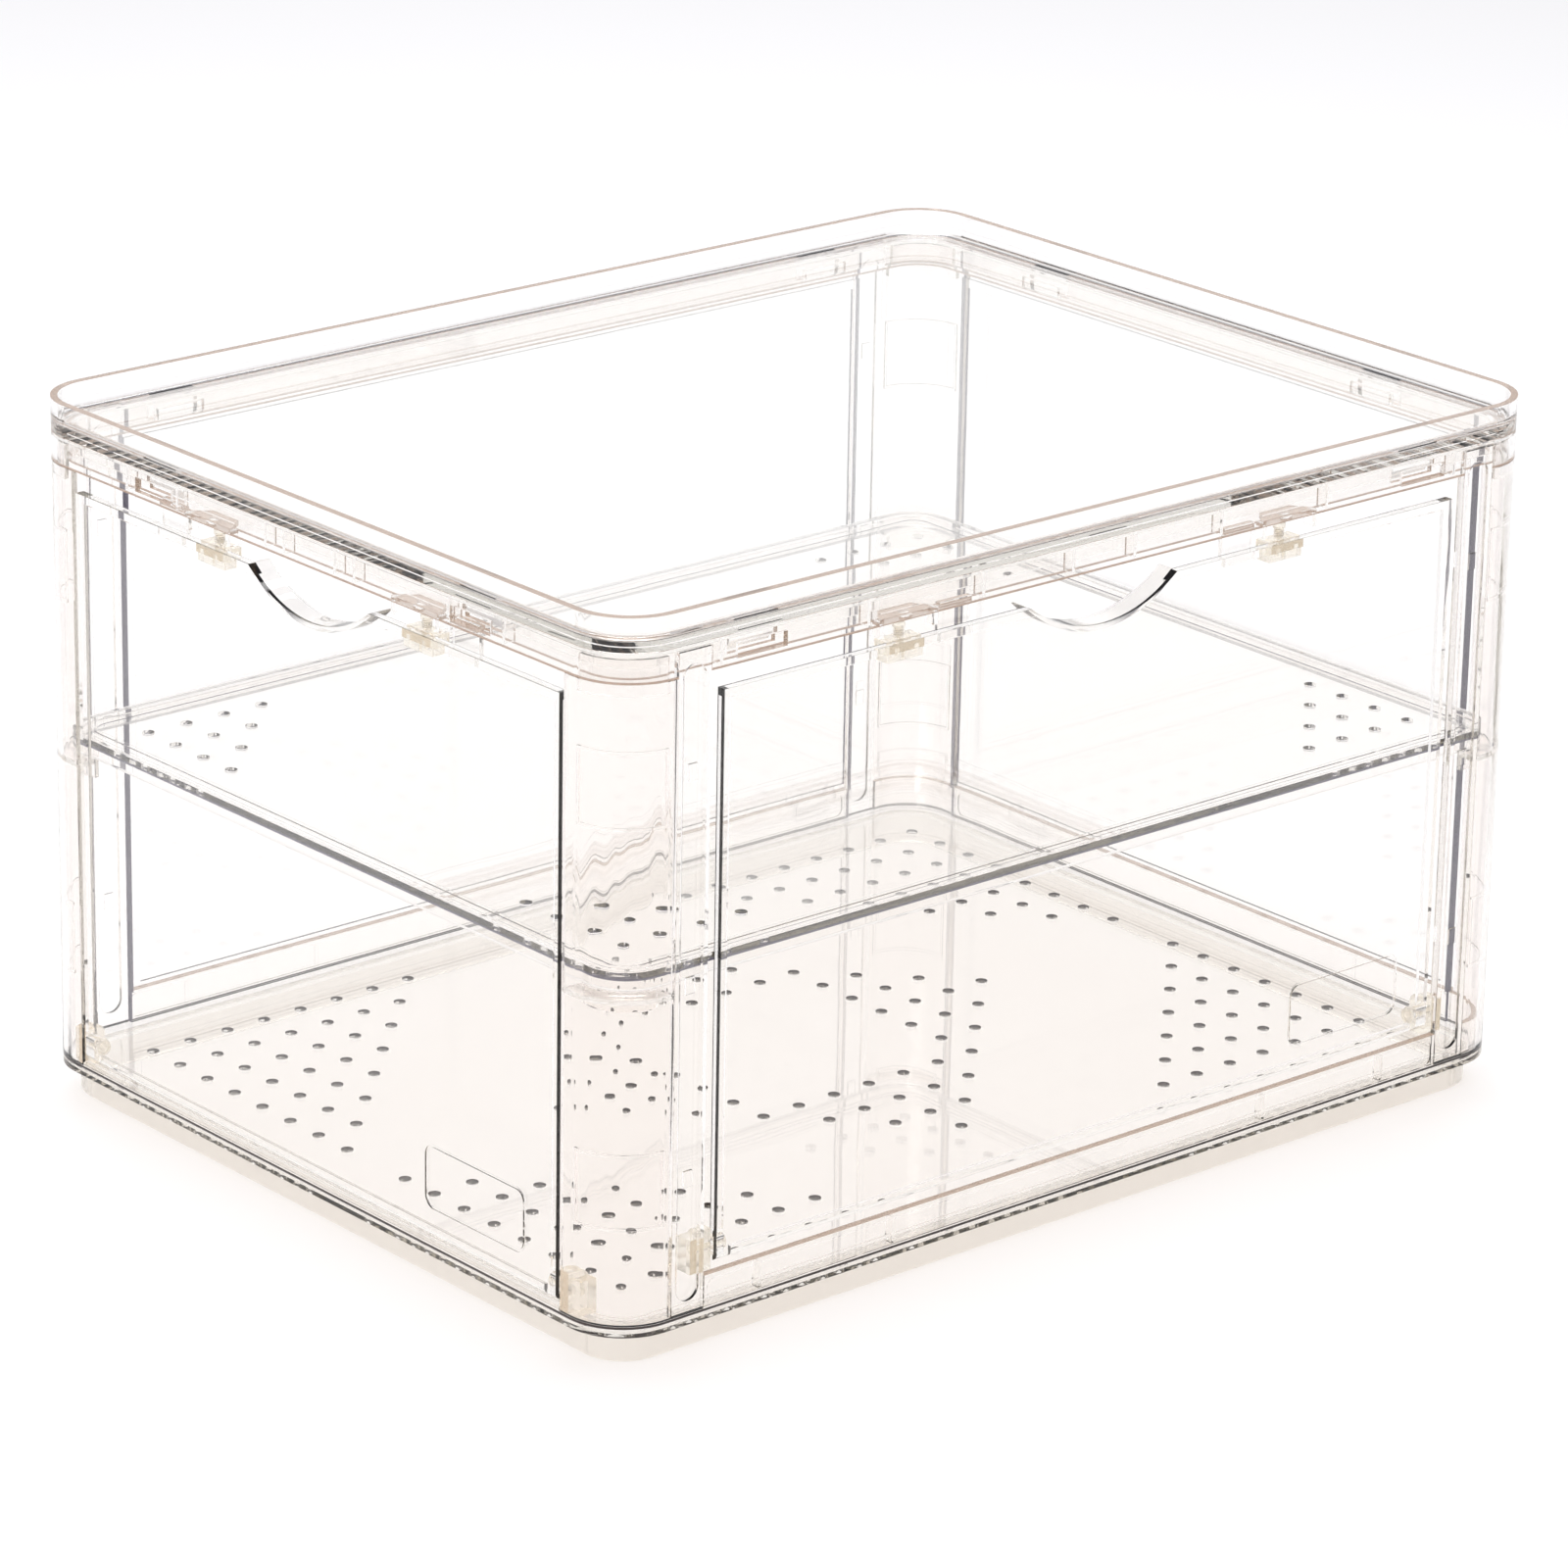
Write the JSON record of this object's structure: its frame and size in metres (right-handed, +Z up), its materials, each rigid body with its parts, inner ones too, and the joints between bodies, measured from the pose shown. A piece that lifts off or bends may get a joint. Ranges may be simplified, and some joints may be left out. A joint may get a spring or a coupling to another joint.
{
  "type": "shoe box",
  "caption": "Clear stackable shoe box with a mid shelf, a drop-down front door, a drop-down side door, finger notches and corner vents.",
  "frame": {"origin": "centre of the footprint, on the surface the box stands on", "axes": "+X along the wide front, +Y from the front door to the back, +Z up; the side door is on -X"},
  "size_m": [0.36, 0.28, 0.223],
  "materials": {
    "clear_shell": "clear injection-moulded plastic, glossy, faint warm tint",
    "moulded_fittings": "clear injection-moulded plastic, slightly cloudy in small thick pieces",
    "spring_acetal": "translucent moulded plastic spring"
  },
  "bodies": {
    "case": {"base_tray": "clear_shell", "top_frame": "clear_shell", "lid": "clear_shell", "back_panel": "clear_shell", "right_panel": "clear_shell", "corner_panel_front_left": "clear_shell", "corner_panel_front_right": "clear_shell", "corner_panel_back_right": "clear_shell", "corner_panel_back_left": "clear_shell", "upright_front_left": "clear_shell", "upright_front_right": "clear_shell", "upright_back_right": "clear_shell", "upright_back_left": "clear_shell", "hinge_block_front_left": "moulded_fittings", "hinge_block_front_right": "moulded_fittings", "hinge_block_side_front": "moulded_fittings", "hinge_block_side_back": "moulded_fittings", "hinge_pin_front_left": "moulded_fittings", "hinge_pin_front_right": "moulded_fittings", "hinge_pin_side_front": "moulded_fittings", "hinge_pin_side_back": "moulded_fittings"},
    "shelf": {"shelf": "clear_shell"},
    "front_door": {"front_door": "clear_shell", "catch_housing_front_left": "moulded_fittings", "catch_housing_front_right": "moulded_fittings", "catch_spring_front_left": "spring_acetal", "catch_spring_front_right": "spring_acetal"},
    "side_door": {"side_door": "clear_shell", "catch_housing_side_front": "moulded_fittings", "catch_housing_side_back": "moulded_fittings", "catch_spring_side_front": "spring_acetal", "catch_spring_side_back": "spring_acetal"},
    "plunger_front_left": {"catch_plunger_front_left": "moulded_fittings"},
    "plunger_front_right": {"catch_plunger_front_right": "moulded_fittings"},
    "plunger_side_front": {"catch_plunger_side_front": "moulded_fittings"},
    "plunger_side_back": {"catch_plunger_side_back": "moulded_fittings"}
  },
  "joints": [
    {"name": "front_door_hinge", "type": "hinge", "parent": "case", "child": "front_door", "pos_m": [0, -0.1354, 0.0308], "axis": [1, 0, 0], "range_deg": [0, 90]},
    {"name": "side_door_hinge", "type": "hinge", "parent": "case", "child": "side_door", "pos_m": [-0.1754, 0, 0.0203], "axis": [0, -1, 0], "range_deg": [0, 90]},
    {"name": "shelf_lift", "type": "slide", "parent": "case", "child": "shelf", "axis": [0, 0, 1], "range_m": [0, 0.06]},
    {"name": "catch_front_left_press", "type": "slide", "parent": "front_door", "child": "plunger_front_left", "axis": [0, 0, -1], "range_m": [0, 0.0012], "stiffness_N_per_m": 300, "springref_m": -0.001, "deforming": ["catch_spring_front_left"]},
    {"name": "catch_front_right_press", "type": "slide", "parent": "front_door", "child": "plunger_front_right", "axis": [0, 0, -1], "range_m": [0, 0.0012], "stiffness_N_per_m": 300, "springref_m": -0.001, "deforming": ["catch_spring_front_right"]},
    {"name": "catch_side_front_press", "type": "slide", "parent": "side_door", "child": "plunger_side_front", "axis": [0, 0, -1], "range_m": [0, 0.0012], "stiffness_N_per_m": 300, "springref_m": -0.001, "deforming": ["catch_spring_side_front"]},
    {"name": "catch_side_back_press", "type": "slide", "parent": "side_door", "child": "plunger_side_back", "axis": [0, 0, -1], "range_m": [0, 0.0012], "stiffness_N_per_m": 300, "springref_m": -0.001, "deforming": ["catch_spring_side_back"]}
  ]
}
